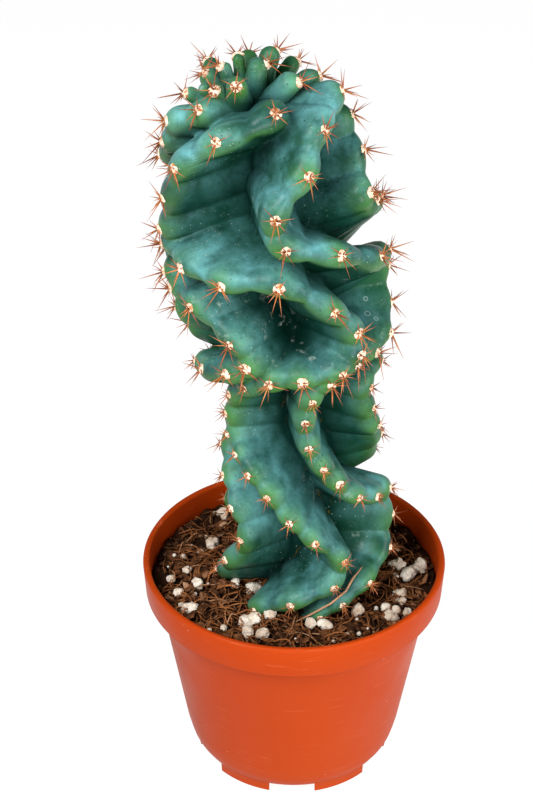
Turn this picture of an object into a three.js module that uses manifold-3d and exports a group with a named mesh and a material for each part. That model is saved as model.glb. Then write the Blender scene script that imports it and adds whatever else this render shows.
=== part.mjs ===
import * as THREE from 'three';
import { mergeVertices } from 'three/addons/utils/BufferGeometryUtils.js';
import { ConvexGeometry } from 'three/addons/geometries/ConvexGeometry.js';
import Module from 'manifold-3d';

// A five-ribbed column cactus that twists back and forth, in a plastic nursery pot of potting mix.
// Millimetres, +Z up, origin under the middle of the pot on the surface that it stands on.

const wasm = await Module();
wasm.setup();

// Pot
const POT_HEIGHT = 98;
const RIM_RADIUS = 65;
const RIM_HEIGHT = 15;
const RIM_FOOT_RADIUS = 64;
const LIP_WIDTH = 3;
const BODY_TOP_RADIUS = 58.5;
const BODY_LOW_RADIUS = 47.5;
const BODY_LOW_HEIGHT = 17;
const CORNER_RADIUS = 12;
const FOOT_RADIUS = 43;
const FOOT_WIDTH = 4.5;
const FOOT_HEIGHT = 5;
const FOOT_COUNT = 6;
const FOOT_NOTCH_DEGREES = 26;
const WALL = 1.8;
const FLOOR = 2.2;
const DRAIN_RADIUS = 3.5;
const DRAIN_CIRCLE = 30;
const POT_SIDES = 48;

// Potting mix
const SOIL_HEIGHT = 88;
const SOIL_RINGS = 6;
const SOIL_SIDES = 36;
const SOIL_RELIEF = 1.1;
const GAP = 0.3;
const HOLE_MARGIN = 0.5;
const HOLE_TOP = 25;

// Stem. Its axis leans and bends a little: height above the potting mix, then X and Y.
const STEM_FOOT = -12;
const STEM_AXIS = [
  [-12, 4, 0], [50, 4, 0], [90, 2, 0], [120, -1, 0], [140, -5, 0], [180, -10, 0], [210, -13, -1], [240, -19, -4],
];
const CROWN_HEIGHT = 214;
const CORE_RADIUS = 15;
const CORE_SIDES = 9;
const CORE_HEIGHTS = [-14, 20, 50, 90, 120, 140, 180, 210, 224];
const RIB_EDGE_RADIUS = 4.5;
const KNOB_RADIUS = 5.2;
const KNOB_STAND = 2;
const RIB_TAPER = 0.11;
const EDGE_FLAT = 0.6;
const ROUTE_STEPS = 2;
// How steeply a rib rises to its edge on the stem's right side, and falls on its left: height and slope
const RIB_RISE = [[60, 0], [112, -0.25], [138, 0], [158, 0.48], [190, 0.48], [215, 0.3]];

// Areoles of each rib from the crown down to the potting mix:
// the angle round the stem in degrees, the height above the potting mix and the distance from the axis.
const RIB_FRONT = [
  [-72, 231, 30], [-112, 222, 38], [-140, 207, 43], [-155, 190, 44],
  [-168, 172, 45], [-172, 164, 45], [-146, 163, 44], [-118, 163, 44], [-88, 165, 44], [-61, 152, 44],
  [-47, 139, 43], [-47, 129, 42], [-60, 122, 40], [-84, 120, 38], [-105, 118, 37], [-125, 112, 35],
  [-143, 104, 34], [-152, 92, 34], [-152, 82, 34], [-141, 76, 35], [-128, 70, 36], [-113, 63, 37],
  [-99, 53, 38], [-83, 43, 38], [-64, 32, 39], [-70, 19, 38], [-98, 11, 38], [-125, 2, 36], [-145, -8, 34],
];
const RIB_FRONT_RIGHT = [
  [-9, 230, 34], [-47, 224, 38], [-66, 210, 43], [-85, 194, 44],
  [-82, 181, 44], [-53, 175, 44], [-22, 165, 44], [3, 158, 44], [15, 146, 44], [6, 133, 42],
  [-12, 126, 41], [-29, 123, 39], [-48, 123, 39], [-66, 117, 37], [-79, 109, 35], [-85, 99, 34],
  [-84, 87, 34], [-75, 77, 35], [-65, 69, 36], [-51, 60, 37], [-34, 55, 37], [-12, 51, 37],
  [-6, 35, 38], [-14, 21, 38], [-42, 14, 38], [-63, 8, 37], [-78, 2, 35], [-95, -8, 34],
];
const RIB_BACK_RIGHT = [
  [2, 217, 35], [-8, 205, 38], [-24, 193, 43], [-16, 187, 43],
  [4, 181, 43], [20, 174, 43], [38, 163, 42], [58, 152, 42], [78, 142, 42], [92, 132, 42], [88, 122, 41],
  [62, 117, 39], [30, 112, 37], [0, 108, 35], [-28, 105, 34], [-27, 95, 34], [-19, 84, 34],
  [2, 72, 33], [32, 54, 35], [55, 43, 36], [72, 33, 37], [76, 23, 38], [62, 13, 38],
  [40, 4, 37], [20, -6, 35],
];
const RIB_BACK = [
  [150, 205, 36], [122, 193, 43], [105, 180, 44],
  [100, 168, 45], [118, 159, 45], [145, 151, 45], [168, 142, 46], [172, 129, 46], [168, 120, 43],
  [151, 112, 41], [125, 104, 41], [98, 100, 38], [75, 92, 36], [70, 82, 35], [85, 72, 35],
  [104, 62, 36], [124, 50, 37], [142, 38, 38], [150, 26, 39], [136, 14, 38], [112, 4, 37], [92, -6, 35],
];
const RIB_LEFT = [
  [224, 228, 28], [197, 219, 36], [189, 208, 39], [170, 196, 42],
  [148, 184, 44], [132, 172, 45], [145, 161, 46], [168, 154, 46], [184, 150, 46], [195, 147, 45],
  [217, 147, 44], [239, 136, 42], [245, 126, 41], [230, 120, 41], [205, 114, 41], [186, 110, 41],
  [160, 104, 38], [142, 96, 36], [142, 85, 34], [157, 75, 34], [180, 67, 34], [202, 60, 36],
  [217, 50, 38], [226, 37, 38], [212, 22, 39], [192, 8, 38], [172, -4, 36],
];
const RIB_AREOLES = [RIB_FRONT, RIB_FRONT_RIGHT, RIB_BACK_RIGHT, RIB_BACK, RIB_LEFT];

// Young knobs on the crown that aren't joined into ribs yet: X, Y, height above the potting mix and radius
const CROWN_KNOBS = [
  [-11, 4, 237, 4.7], [-15, -4, 236, 4.9], [-4, -9, 232, 5.5], [3, 2, 229, 5.8], [-22, -20, 233, 4.6],
  [-27, -6, 237, 3], [-32, -3, 233, 3.1], [-34, -13, 232, 2.9], [-29, -15, 232, 3.5], [-39, -9, 228, 3.5],
  [-22, 1, 237, 3], [-32, 10, 231, 4], [-19, 15, 231, 4.5], [-3, 15, 229, 4.5], [-34, 21, 221, 4.5],
];
const CROWN_CENTRE = [-20, -4];
const CROWN_FOOT_SHARE = 0.15;
const CROWN_KNOB_SIDES = 5;

// Areole pads and their needles
const PAD_RADIUS = 2.4;
const PAD_HEIGHT = 2.2;
const PAD_SINK = 0.5;
const SPINE_RADIUS = 0.5;
const SPINE_LENGTH = [7, 11];
const SPINE_SPREAD = [0.6, 1];
const SPINES_PER_AREOLE = 3;
const LOWEST_AREOLE = 7;
const SMALLEST_SPINY_KNOB = 3;
const SPINE_CLEARANCE = 6;

// Grains on the potting mix: X, Y and radius of the larger ones, then how many small ones of each kind
const PERLITE = [
  [-41, -10, 3.1], [-46, -25, 3], [-43, -27, 3], [-48, 9, 1.9], [-36, 18, 3], [-41, 14, 1.9], [-46, 1, 2.2],
  [-53, -6, 2.2], [-49, -17, 2.2], [-25, -45, 2], [-19, -36, 3.4], [-11, -34, 3], [-20, -44, 2.6],
  [-13, -45, 2.6], [45, 3, 3.6], [49, -2, 3.4], [54, 4, 3.4], [46, -16, 3.2], [28, -31, 3.2], [38, -27, 2.3],
  [41, -31, 2.6], [14, -42, 3], [43, 27, 2],
];
const SMALL_GRAINS = 8;
const BARK_CHIPS = 14;
const FIBRES = 9;

// Repeatable random numbers
function randomSource(seed) {
  let state = seed;
  return () => {
    state = (state * 1664525 + 1013904223) % 4294967296;
    return state / 4294967296;
  };
}

function between(random, low, high) {
  return low + (high - low) * random();
}

const radians = THREE.MathUtils.degToRad;

// Solids from geometries and back
function solid(geometry) {
  const bare = geometry.clone();
  bare.deleteAttribute('normal');
  bare.deleteAttribute('uv');
  const merged = mergeVertices(bare, 1e-4);
  return new wasm.Manifold(new wasm.Mesh({
    numProp: 3,
    vertProperties: new Float32Array(merged.attributes.position.array),
    triVerts: new Uint32Array(merged.index.array),
  }));
}

function joined(solids) {
  let pieces = solids;
  while (pieces.length > 1) {
    const next = [];
    for (let i = 0; i < pieces.length; i += 2) {
      next.push(i + 1 < pieces.length ? pieces[i].add(pieces[i + 1]) : pieces[i]);
    }
    pieces = next;
  }
  return pieces[0];
}

function largestBody(body) {
  const parts = body.decompose();
  parts.sort((a, b) => b.volume() - a.volume());
  return parts[0];
}

function geometryOf(body) {
  const { vertProperties, triVerts } = body.getMesh();
  const geometry = new THREE.BufferGeometry();
  geometry.setAttribute('position', new THREE.BufferAttribute(new Float32Array(vertProperties), 3));
  geometry.setIndex(new THREE.BufferAttribute(new Uint32Array(triVerts), 1));
  geometry.computeVertexNormals();
  return geometry;
}

// Values of a table of rows that start with a height, at any height
function tableAt(table, height) {
  const next = table.findIndex((row) => row[0] >= height);
  if (next === 0) return table[0].slice(1);
  if (next < 0) return table[table.length - 1].slice(1);
  const below = table[next - 1];
  const above = table[next];
  const share = (height - below[0]) / (above[0] - below[0]);
  return below.slice(1).map((value, i) => value + (above[i + 1] - value) * share);
}

// Place on the stem's axis at a height above the potting mix, in the stem's own frame
function axisAt(height) {
  return new THREE.Vector3(...tableAt(STEM_AXIS, height), height);
}

function pointAt(angle, height, radius) {
  const point = axisAt(height);
  point.x += radius * Math.cos(radians(angle));
  point.y += radius * Math.sin(radians(angle));
  return point;
}

// A smooth route through a rib's areoles
function ribRoute(areoles) {
  const places = areoles.map((areole) => new THREE.Vector3(...areole));
  const curve = new THREE.CatmullRomCurve3(places, false, 'catmullrom');
  return curve.getPoints((areoles.length - 1) * ROUTE_STEPS);
}

// A rib is a row of spokes from the axis out to its edge. Each spoke is thick at the axis and thin at its tip.
// The spokes at areoles are fuller and stand out further, as knobs.
function ribSpokes(areoles) {
  const spokes = ribRoute(areoles).map((place, i) => {
    const tip = pointAt(place.x, place.y, place.z);
    const rise = place.z * tableAt(RIB_RISE, tip.z)[0] * Math.cos(radians(place.x));
    const root = axisAt(Math.min(tip.z - rise, CROWN_HEIGHT));
    const direction = tip.clone().sub(root);
    const reach = direction.length();
    direction.normalize();
    const step = (i % ROUTE_STEPS) / ROUTE_STEPS;
    const dip = KNOB_STAND * Math.sqrt(Math.sin(Math.PI * step));
    const radius = step === 0 ? KNOB_RADIUS : RIB_EDGE_RADIUS;
    return { tip, root, direction, height: place.y, length: Math.max(reach - dip - radius, 1), radius };
  });
  spokes.forEach((spoke, i) => {
    const before = spokes[Math.max(i - 1, 0)].tip;
    const after = spokes[Math.min(i + 1, spokes.length - 1)].tip;
    spoke.side = spoke.direction.clone().cross(after.clone().sub(before)).normalize();
  });
  return spokes;
}

const ribs = RIB_AREOLES.map(ribSpokes);

// A crown knob is one spoke, from near the middle of the crown to its own place
function knobSpoke([x, y, height, radius]) {
  const tip = new THREE.Vector3(x, y, height);
  const root = new THREE.Vector3(...CROWN_CENTRE, height).lerp(tip, CROWN_FOOT_SHARE).setZ(CROWN_HEIGHT);
  const direction = tip.clone().sub(root);
  const length = direction.length();
  return { root, direction: direction.normalize(), height, length, radius };
}

const crownKnobs = CROWN_KNOBS.map(knobSpoke);

// A knob: a short tapered post with a chamfered end
function knobSolid(spoke) {
  const { root, direction, length, radius } = spoke;
  const points = [];
  for (const [along, width] of [[0, radius], [length, radius], [length + radius, EDGE_FLAT * radius]]) {
    const ring = new THREE.CircleGeometry(width, CROWN_KNOB_SIDES).attributes.position;
    const middle = root.clone().addScaledVector(direction, along);
    const turn = new THREE.Quaternion().setFromUnitVectors(new THREE.Vector3(0, 0, 1), direction);
    for (let i = 1; i <= CROWN_KNOB_SIDES; i++) {
      points.push(new THREE.Vector3().fromBufferAttribute(ring, i).applyQuaternion(turn).add(middle));
    }
  }
  return solid(new ConvexGeometry(points));
}

// Outline of the rib where it is cut along a spoke: wide at the axis, with a chamfered edge at the tip
function spokeOutline(spoke, margin) {
  const radius = spoke.radius + margin;
  const stations = [
    [0, radius + RIB_TAPER * spoke.length],
    [spoke.length, radius],
    [spoke.length + radius, EDGE_FLAT * radius],
  ];
  const points = [];
  for (const [along, width] of stations) {
    const middle = spoke.root.clone().addScaledVector(spoke.direction, along);
    points.push(middle.clone().addScaledVector(spoke.side, width));
    points.push(middle.clone().addScaledVector(spoke.side, -width));
  }
  return points;
}

// The stem's core: short prisms along the axis
function coreSolids(margin) {
  const rings = CORE_HEIGHTS.map((height) => {
    const ring = [];
    for (let i = 0; i < CORE_SIDES; i++) ring.push(pointAt((360 * i) / CORE_SIDES, height, CORE_RADIUS + margin));
    return ring;
  });
  return rings.slice(1).map((ring, i) => solid(new ConvexGeometry([...rings[i], ...ring])));
}

// The stem up to a height, grown by a margin: the core and the wedges between neighbouring spokes,
// cut off level at the foot
function stemSolid(margin, foot, top) {
  const solids = coreSolids(margin);
  for (const spokes of ribs) {
    for (let i = 1; i < spokes.length; i++) {
      if (spokes[i].height > top) continue;
      const points = [...spokeOutline(spokes[i - 1], margin), ...spokeOutline(spokes[i], margin)];
      solids.push(solid(new ConvexGeometry(points)));
    }
  }
  const below = new THREE.BoxGeometry(3 * POT_HEIGHT, 3 * POT_HEIGHT, POT_HEIGHT);
  below.translate(0, 0, foot - POT_HEIGHT / 2);
  return joined(solids).subtract(solid(below));
}

// Turn a shape made along +Z to a direction and put it at a point
function aim(geometry, point, direction) {
  const turn = new THREE.Quaternion().setFromUnitVectors(new THREE.Vector3(0, 0, 1), direction);
  geometry.applyQuaternion(turn);
  geometry.translate(point.x, point.y, point.z);
  return geometry;
}

function padShape() {
  const pad = new THREE.ConeGeometry(PAD_RADIUS, PAD_HEIGHT, SPINES_PER_AREOLE, 1);
  pad.rotateX(Math.PI / 2);
  pad.translate(0, 0, PAD_HEIGHT / 2 - PAD_SINK);
  return pad;
}

function spineShape(turn, spread, length) {
  const spine = new THREE.ConeGeometry(SPINE_RADIUS, length, 3, 1);
  spine.rotateX(Math.PI / 2);
  spine.translate(0, 0, length / 2);
  spine.rotateX(spread);
  spine.rotateZ(turn);
  return spine;
}

// Spokes that carry an areole: those of the ribs, then the larger crown knobs
function areoleSpokes() {
  const onRibs = ribs.flatMap((spokes) => spokes.filter((_, i) => i % ROUTE_STEPS === 0));
  const onCrown = crownKnobs.filter((spoke) => spoke.radius > SMALLEST_SPINY_KNOB);
  return [...onRibs, ...onCrown].filter((spoke) => spoke.height >= LOWEST_AREOLE);
}

// A pad with needles on every areole, on all sides of the stem
function areoleSolids() {
  const random = randomSource(11);
  const solids = [];
  for (const spoke of areoleSpokes()) {
    const outward = spoke.direction;
    const point = spoke.root.clone().addScaledVector(outward, spoke.length + spoke.radius);
    const twist = random() * Math.PI;
    const shapes = [padShape().rotateZ(twist)];
    for (let n = 0; n < SPINES_PER_AREOLE; n++) {
      const turn = twist + (2 * Math.PI * (n + 0.5 + between(random, -0.12, 0.12))) / SPINES_PER_AREOLE;
      shapes.push(spineShape(turn, between(random, ...SPINE_SPREAD), between(random, ...SPINE_LENGTH)));
    }
    for (const shape of shapes) {
      aim(shape, point, outward).computeBoundingBox();
      if (shape.boundingBox.min.z > SPINE_CLEARANCE) solids.push(solid(shape));
    }
  }
  return solids;
}

// Pot: a turned shell with a stepped rim band, then notches between its feet and drain holes
function potProfile() {
  const cornerZ = FOOT_HEIGHT;
  const outline = new THREE.Path();
  outline.moveTo(0, cornerZ);
  outline.lineTo(FOOT_RADIUS - FOOT_WIDTH, cornerZ);
  outline.lineTo(FOOT_RADIUS - FOOT_WIDTH, 0);
  outline.lineTo(FOOT_RADIUS - 0.4, 0);
  outline.lineTo(FOOT_RADIUS, cornerZ);
  outline.quadraticCurveTo(FOOT_RADIUS + 2.6, cornerZ + 3, BODY_LOW_RADIUS, cornerZ + CORNER_RADIUS);
  const bandZ = POT_HEIGHT - RIM_HEIGHT;
  outline.lineTo(BODY_TOP_RADIUS, bandZ - 1);
  outline.lineTo(BODY_TOP_RADIUS + 1, bandZ);
  outline.lineTo(RIM_FOOT_RADIUS - 0.6, bandZ);
  outline.lineTo(RIM_FOOT_RADIUS, bandZ + 0.6);
  outline.lineTo(RIM_RADIUS, POT_HEIGHT - 1.2);
  outline.lineTo(RIM_RADIUS - 0.8, POT_HEIGHT - 0.1);
  outline.lineTo(RIM_RADIUS - LIP_WIDTH / 2, POT_HEIGHT);
  outline.lineTo(RIM_RADIUS - LIP_WIDTH + 0.4, POT_HEIGHT - 0.5);
  outline.lineTo(RIM_RADIUS - LIP_WIDTH, POT_HEIGHT - 1.5);
  outline.lineTo(INNER_TOP, SOIL_HEIGHT - 4);
  outline.lineTo(INNER_STEP, bandZ - 3);
  outline.lineTo(INNER_LOW, BODY_LOW_HEIGHT);
  outline.quadraticCurveTo(FOOT_RADIUS + 1.2, cornerZ + 4.5, FOOT_RADIUS - 1, FLOOR_TOP);
  outline.lineTo(0, FLOOR_TOP);
  return outline.getPoints(3);
}

const FLOOR_TOP = FOOT_HEIGHT + FLOOR;
const INNER_TOP = RIM_RADIUS - LIP_WIDTH - 0.6;
const INNER_STEP = BODY_TOP_RADIUS - WALL;
const INNER_LOW = BODY_LOW_RADIUS - WALL;

function turned(points, sides) {
  const geometry = new THREE.LatheGeometry(points, sides);
  geometry.rotateX(Math.PI / 2);
  return geometry;
}

function potSolid() {
  let pot = solid(turned(potProfile(), POT_SIDES));
  const pitch = 360 / FOOT_COUNT;
  for (let i = 0; i < FOOT_COUNT; i++) {
    const angle = -90 + i * pitch;
    const width = 2 * FOOT_RADIUS * Math.tan(radians(FOOT_NOTCH_DEGREES / 2));
    const notch = new THREE.BoxGeometry(3 * FOOT_WIDTH, width, FOOT_HEIGHT);
    notch.translate(FOOT_RADIUS, 0, FOOT_HEIGHT / 2 - 0.2);
    notch.rotateZ(radians(angle));
    pot = pot.subtract(solid(notch));
    const drain = new THREE.CylinderGeometry(DRAIN_RADIUS, DRAIN_RADIUS, 4 * FLOOR, 12);
    drain.rotateX(Math.PI / 2);
    drain.translate(DRAIN_CIRCLE, 0, FOOT_HEIGHT + FLOOR / 2);
    drain.rotateZ(radians(angle));
    pot = pot.subtract(solid(drain));
  }
  return pot;
}

// Height of the rough surface of the potting mix, which rises slightly round the stem
function soilRelief(x, y) {
  const waves = Math.sin(0.31 * x + 1.1) * Math.cos(0.27 * y) + 0.6 * Math.sin(0.55 * y + 0.42 * x);
  return SOIL_RELIEF * waves + 1.6 * Math.exp(-((x * x + y * y) / 900));
}

function soilBase() {
  const wall = INNER_STEP - GAP;
  const points = [new THREE.Vector2(0, FLOOR_TOP + GAP)];
  points.push(new THREE.Vector2(FOOT_RADIUS - 1.5, FLOOR_TOP + GAP));
  points.push(new THREE.Vector2(FOOT_RADIUS + 0.8, FLOOR_TOP + 4));
  points.push(new THREE.Vector2(INNER_LOW - GAP - 0.1, BODY_LOW_HEIGHT));
  points.push(new THREE.Vector2(wall - 0.1, POT_HEIGHT - RIM_HEIGHT - 3));
  points.push(new THREE.Vector2(INNER_TOP - GAP - 0.1, SOIL_HEIGHT - 3.6));
  for (let i = SOIL_RINGS; i >= 0; i--) {
    points.push(new THREE.Vector2(((INNER_TOP - GAP - 0.1) * i) / SOIL_RINGS, SOIL_HEIGHT));
  }
  const geometry = turned(points, SOIL_SIDES);
  const place = geometry.attributes.position;
  for (let i = 0; i < place.count; i++) {
    if (place.getZ(i) < SOIL_HEIGHT - 0.5) continue;
    place.setZ(i, SOIL_HEIGHT + soilRelief(place.getX(i), place.getY(i)));
  }
  return solid(geometry);
}

function lyingAt(geometry, x, y, sink) {
  geometry.translate(x, y, SOIL_HEIGHT + soilRelief(x, y) - sink);
  return solid(geometry);
}

// A random place on the potting mix, clear of the pot's wall
function soilPlace(random, margin) {
  const radius = (INNER_TOP - margin) * Math.sqrt(between(random, 0.3, 1));
  const angle = random() * 2 * Math.PI;
  return [radius * Math.cos(angle), radius * Math.sin(angle)];
}

function grainSolid(random, x, y, radius) {
  const grain = new THREE.IcosahedronGeometry(radius, 0);
  grain.scale(1, between(random, 0.8, 1), between(random, 0.75, 0.95));
  grain.rotateX(random() * 3);
  grain.rotateZ(random() * 6);
  return lyingAt(grain, x, y, -0.35 * radius);
}

function chipSolid(random) {
  const length = between(random, 5, 9);
  const chip = new THREE.BoxGeometry(length, between(random, 2.5, 4.5), between(random, 1.4, 2.4));
  chip.rotateX(between(random, -0.5, 0.5));
  chip.rotateY(between(random, -0.3, 0.3));
  chip.rotateZ(random() * Math.PI);
  return lyingAt(chip, ...soilPlace(random, 6), -0.3);
}

function fibreSolid(random) {
  const length = between(random, 10, 18);
  const fibre = new THREE.CylinderGeometry(0.7, 0.7, length, 4);
  fibre.rotateZ(Math.PI / 2);
  fibre.rotateY(between(random, -0.12, 0.12));
  fibre.rotateZ(random() * Math.PI);
  return lyingAt(fibre, ...soilPlace(random, 11), 0);
}

function soilSolid() {
  const random = randomSource(5);
  const pieces = [soilBase()];
  for (const [x, y, radius] of PERLITE) pieces.push(grainSolid(random, x, y, radius));
  for (let i = 0; i < SMALL_GRAINS; i++) {
    pieces.push(grainSolid(random, ...soilPlace(random, 4), between(random, 1.4, 2.2)));
  }
  for (let i = 0; i < BARK_CHIPS; i++) pieces.push(chipSolid(random));
  for (let i = 0; i < FIBRES; i++) pieces.push(fibreSolid(random));
  const hole = stemSolid(HOLE_MARGIN, STEM_FOOT - GAP, HOLE_TOP).translate([0, 0, SOIL_HEIGHT]);
  return largestBody(joined(pieces).subtract(hole));
}

function cactusSolid() {
  return largestBody(joined([stemSolid(0, STEM_FOOT, Infinity), ...crownKnobs.map(knobSolid), ...areoleSolids()]));
}

// The assembly
function piece(name, body, color, roughness) {
  const mesh = new THREE.Mesh(geometryOf(body), new THREE.MeshStandardMaterial({ color, roughness, metalness: 0 }));
  mesh.name = name;
  return mesh;
}

const pot = piece('pot', potSolid(), 0xd9532b, 0.45);
const pottingMix = piece('potting_mix', soilSolid(), 0x5a3420, 0.95);
const cactus = piece('cactus', cactusSolid(), 0x3f8c78, 0.6);
cactus.position.z = SOIL_HEIGHT;

const pottedCactus = new THREE.Group();
pottedCactus.add(pot, pottingMix, cactus);

export default pottedCactus;
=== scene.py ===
import math
import random
from collections import namedtuple

import bmesh
import bpy
import numpy as np
from bpy.props import FloatProperty, FloatVectorProperty, IntProperty, PointerProperty
from mathutils import Matrix, Vector, kdtree, noise


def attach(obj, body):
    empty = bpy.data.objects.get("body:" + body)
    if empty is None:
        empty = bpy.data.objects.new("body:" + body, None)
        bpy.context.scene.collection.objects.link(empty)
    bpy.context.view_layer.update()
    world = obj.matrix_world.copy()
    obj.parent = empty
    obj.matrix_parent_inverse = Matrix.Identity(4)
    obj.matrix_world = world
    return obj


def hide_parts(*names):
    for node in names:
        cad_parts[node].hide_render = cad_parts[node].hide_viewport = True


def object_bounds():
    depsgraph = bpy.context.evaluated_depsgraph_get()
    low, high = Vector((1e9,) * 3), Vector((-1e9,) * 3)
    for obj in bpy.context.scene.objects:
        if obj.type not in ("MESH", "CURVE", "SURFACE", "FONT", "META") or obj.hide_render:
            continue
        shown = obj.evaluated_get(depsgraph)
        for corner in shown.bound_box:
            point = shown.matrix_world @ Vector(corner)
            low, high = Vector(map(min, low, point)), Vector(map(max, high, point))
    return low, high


# A potted spiral cactus. Settings and materials are in metres. Tables and constants are in millimetres and
# degrees, with heights above the potting mix.
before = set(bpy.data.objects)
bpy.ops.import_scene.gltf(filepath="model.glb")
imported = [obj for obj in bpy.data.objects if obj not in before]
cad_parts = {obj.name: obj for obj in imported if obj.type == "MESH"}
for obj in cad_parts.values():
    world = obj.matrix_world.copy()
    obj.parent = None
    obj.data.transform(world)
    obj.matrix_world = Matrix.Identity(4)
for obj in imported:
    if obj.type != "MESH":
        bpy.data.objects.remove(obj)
CAD_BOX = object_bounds()

bl_info = {
    "name": "Potted spiral cactus",
    "version": (1, 0, 0),
    "blender": (4, 5, 0),
    "location": "View3D > Sidebar > Cactus",
    "description": "Builds a twisted five-ribbed cactus in a nursery pot, piece by piece",
    "category": "Add Mesh",
}

MM = 0.001
SOIL = 88.0  # the potting mix's own height above the ground

# Stem axis: height, X, Y
STEM_AXIS = [
    (-12, 4, 0), (50, 4, 0), (90, 2, 0), (120, -1, 0), (140, -5, 0), (180, -10, 0), (210, -13, -1),
    (240, -19, -4),
]
CROWN_HEIGHT = 214.0
LOWEST_ROOT = -24.0
CORE_RADIUS = 13.0

# Areoles of each rib from the crown down: angle round the stem, height, distance from the axis
RIB_FRONT = [
    (-72, 231, 30), (-112, 222, 38), (-140, 207, 43), (-155, 190, 44),
    (-168, 172, 45), (-172, 164, 45), (-146, 163, 44), (-118, 163, 44), (-88, 165, 44), (-61, 152, 44),
    (-47, 139, 43), (-47, 129, 42), (-60, 122, 40), (-84, 120, 38), (-105, 118, 37), (-125, 112, 35),
    (-143, 104, 34), (-152, 92, 34), (-152, 82, 34), (-141, 76, 35), (-128, 70, 36), (-113, 63, 37),
    (-99, 53, 38), (-83, 43, 38), (-64, 32, 39), (-70, 19, 38), (-98, 11, 38), (-125, 2, 36), (-145, -8, 34),
]
RIB_FRONT_RIGHT = [
    (-9, 230, 34), (-47, 224, 38), (-66, 210, 43), (-85, 194, 44),
    (-82, 181, 44), (-53, 175, 44), (-22, 165, 44), (3, 158, 44), (15, 146, 44), (6, 133, 42),
    (-12, 126, 41), (-29, 123, 39), (-48, 123, 39), (-66, 117, 37), (-79, 109, 35), (-85, 99, 34),
    (-84, 87, 34), (-75, 77, 35), (-65, 69, 36), (-51, 60, 37), (-34, 55, 37), (-12, 51, 37),
    (-6, 35, 38), (-14, 21, 38), (-42, 14, 38), (-63, 8, 37), (-78, 2, 35), (-95, -8, 34),
]
RIB_BACK_RIGHT = [
    (2, 217, 35), (-8, 205, 38), (-24, 193, 43), (-16, 187, 43),
    (4, 181, 43), (20, 174, 43), (38, 163, 42), (58, 152, 42), (78, 142, 42), (92, 132, 42), (88, 122, 41),
    (62, 117, 39), (30, 112, 37), (0, 108, 35), (-28, 105, 34), (-27, 95, 34), (-19, 84, 34),
    (2, 72, 33), (32, 54, 35), (55, 43, 36), (72, 33, 37), (76, 23, 38), (62, 13, 38),
    (40, 4, 37), (20, -6, 35),
]
RIB_BACK = [
    (150, 205, 36), (122, 193, 43), (105, 180, 44),
    (100, 168, 45), (118, 159, 45), (145, 151, 45), (168, 142, 46), (172, 129, 46), (168, 120, 43),
    (151, 112, 41), (125, 104, 41), (98, 100, 38), (75, 92, 36), (70, 82, 35), (85, 72, 35),
    (104, 62, 36), (124, 50, 37), (142, 38, 38), (150, 26, 39), (136, 14, 38), (112, 4, 37), (92, -6, 35),
]
RIB_LEFT = [
    (224, 228, 28), (197, 219, 36), (189, 208, 39), (170, 196, 42),
    (148, 184, 44), (132, 172, 45), (145, 161, 46), (168, 154, 46), (184, 150, 46), (195, 147, 45),
    (217, 147, 44), (239, 136, 42), (245, 126, 41), (230, 120, 41), (205, 114, 41), (186, 110, 41),
    (160, 104, 38), (142, 96, 36), (142, 85, 34), (157, 75, 34), (180, 67, 34), (202, 60, 36),
    (217, 50, 38), (226, 37, 38), (212, 22, 39), (192, 8, 38), (172, -4, 36),
]
RIBS = [RIB_FRONT, RIB_FRONT_RIGHT, RIB_BACK_RIGHT, RIB_BACK, RIB_LEFT]

# A rib is a row of spokes from the axis to its edge: how many lie between two areoles, the radius of their
# tips, and how fast they widen towards the axis
ROUTE_STEPS = 16
EDGE_RADIUS = 3.3
RIB_TAPER = 0.11

# A spoke is thicker at an areole, by height, and also reaches further out there
KNOB_SWELL = [(95, 1.5), (120, 2.5)]
KNOB_STAND = 2.2

# How steeply a rib rises to its edge on the stem's right side: height and slope. It falls on the left, where
# an upper rib has only a share of the slope.
RIB_RISE = [(60, 0), (112, -0.25), (138, 0), (158, 0.48), (190, 0.48), (215, 0.3)]
FALL_SHARE = 0.6

# The skin is a grid of rays from the axis. Its columns follow the ribs' angles, averaged over a height, and
# crowd towards the edges. Its rows slope as the spokes near them do, then fan out over the crown.
GUIDE_REACH = 3.0
COLUMN_CROWDING = 0.07
SLOPE_HEIGHT = 7
SLOPE_ANGLE = 35
SLOPE_LIMIT = 20
CROWN_ROWS = 55
CROWN_SLOPE = 88.5

# How far from its root, up the stem and round it, a spoke can meet a ray
SPOKE_HEIGHT = 26
SPOKE_ANGLE = 75

# How softly ribs meet in a valley, and how fast the layers that the paint reads fade: beside a valley, into
# the depth inward of the usual reach of an edge (by height), beside a fold, an edge and an areole. The paint
# lays painted shade along the valley, depth and fold layers.
VALLEY_BLEND = 0.4
VALLEY_FADE = 2
EDGE_REACH = [(90, 29), (125, 36)]
DEPTH_FADE = 20
FOLD_FADE = 0.22
EDGE_FADE = 9
AREOLE_FADE = 7

# Young knobs on the crown, round its middle: X, Y, height and radius
CROWN_KNOBS = [
    (-11, 4, 237, 4.7), (-15, -4, 236, 4.9), (-4, -9, 232, 5.5), (3, 2, 229, 5.8), (-22, -20, 236, 4.8),
    (-27, -6, 237, 3), (-32, -3, 233, 3.1), (-34, -13, 232, 2.9), (-29, -15, 232, 3.5), (-39, -9, 228, 3.5),
    (-22, 1, 237, 3), (-32, 10, 231, 4), (-19, 15, 231, 4.5), (-3, 15, 229, 4.5), (-34, 21, 221, 4.5),
]
CROWN_CENTRE = (-20, -4)
CROWN_FOOT_SHARE = 0.15

# Areoles sit above the mix and, leaning out, on the larger knobs. They are smaller on the lower stem.
LOWEST_AREOLE = 0.0
SMALLEST_SPINY_KNOB = 2.95
AREOLE_LEAN = 1.1
UPPER_STEM = 112
LOW_AREOLE_SIZE = 0.62
LOWEST_SPINE_TIP = 2.5
TOP_MARGIN = 0.6

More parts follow.
